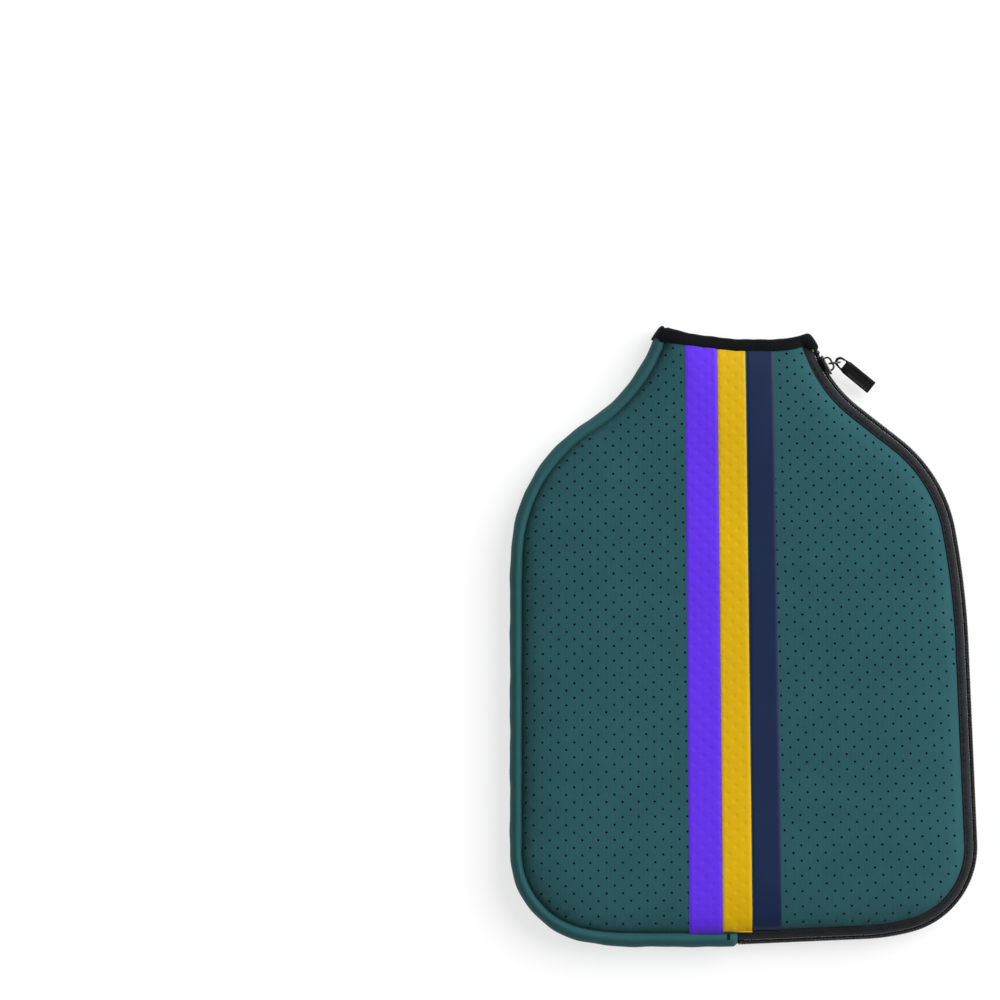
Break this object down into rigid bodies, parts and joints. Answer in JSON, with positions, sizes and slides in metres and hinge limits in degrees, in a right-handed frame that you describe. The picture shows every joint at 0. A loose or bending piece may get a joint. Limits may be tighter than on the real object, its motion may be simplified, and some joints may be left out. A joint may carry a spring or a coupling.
{
  "type": "paddle case",
  "caption": "Neoprene racket paddle cover with a side band, a zip round the other side, an open neck and a pull tab on the slider.",
  "frame": {"origin": "under the middle of the case, on the surface that it lies on", "axes": "+Y towards the neck, +X towards the zip side, +Z out of the front panel"},
  "size_m": [0.2203, 0.2919, 0.0194],
  "materials": {
    "panel_neoprene": "perforated knit-faced neoprene",
    "band_neoprene": "plain knit-faced neoprene",
    "lining_cloth": "fine jersey",
    "purple_stripe": "soft coated film",
    "yellow_stripe": "soft coated film",
    "navy_stripe": "smooth coated film",
    "binding_knit": "knitted elastic binding",
    "zip_tape": "woven tape",
    "zip_coil": "moulded nylon coil",
    "slider_enamel": "black enamel",
    "pull_rubber": "satin moulded rubber",
    "thread": "spun thread"
  },
  "bodies": {
    "shell": {"back_panel": "panel_neoprene", "back_lining": "lining_cloth", "side_band": "band_neoprene", "band_folded_end": "band_neoprene", "band_bar_tack": "thread", "front_panel_left": "panel_neoprene", "front_lining_left": "lining_cloth", "purple_stripe_left": "purple_stripe", "yellow_stripe_left": "yellow_stripe", "neck_binding_back": "binding_knit", "zip_tape_back": "zip_tape", "zip_coil_back": "zip_coil", "top_stop_back": "zip_coil", "bottom_stop": "zip_coil"},
    "flap": {"front_panel_flap": "panel_neoprene", "front_lining_flap": "lining_cloth", "purple_stripe_flap": "purple_stripe", "yellow_stripe_flap": "yellow_stripe", "navy_stripe": "navy_stripe", "neck_binding_front": "binding_knit", "zip_tape_front": "zip_tape", "zip_coil_front": "zip_coil", "top_stop_front": "zip_coil"},
    "slider": {"slider_body": "slider_enamel", "slider_bridge": "slider_enamel"},
    "ring": {"pull_ring": "slider_enamel"},
    "tab": {"pull_tab": "pull_rubber"}
  },
  "joints": [
    {"name": "flap_fold", "type": "hinge", "parent": "shell", "child": "flap", "pos_m": [-0.003, -0.1462, 0.0194], "axis": [0.1169, -0.9931, 0], "range_deg": [0, 110]},
    {"name": "slider_run", "type": "hinge", "parent": "shell", "child": "slider", "pos_m": [0.09126, 0.15573, 0.0095], "axis": [0, 0, 1], "range_deg": [0, 18]},
    {"name": "ring_swing", "type": "hinge", "parent": "slider", "child": "ring", "pos_m": [0.04036, 0.12856, 0.0095], "axis": [0, 0, 1], "range_deg": [-6, 45]},
    {"name": "tab_swing", "type": "hinge", "parent": "ring", "child": "tab", "pos_m": [0.04552, 0.12919, 0.0095], "axis": [0, 0, 1], "range_deg": [-10, 75]}
  ]
}
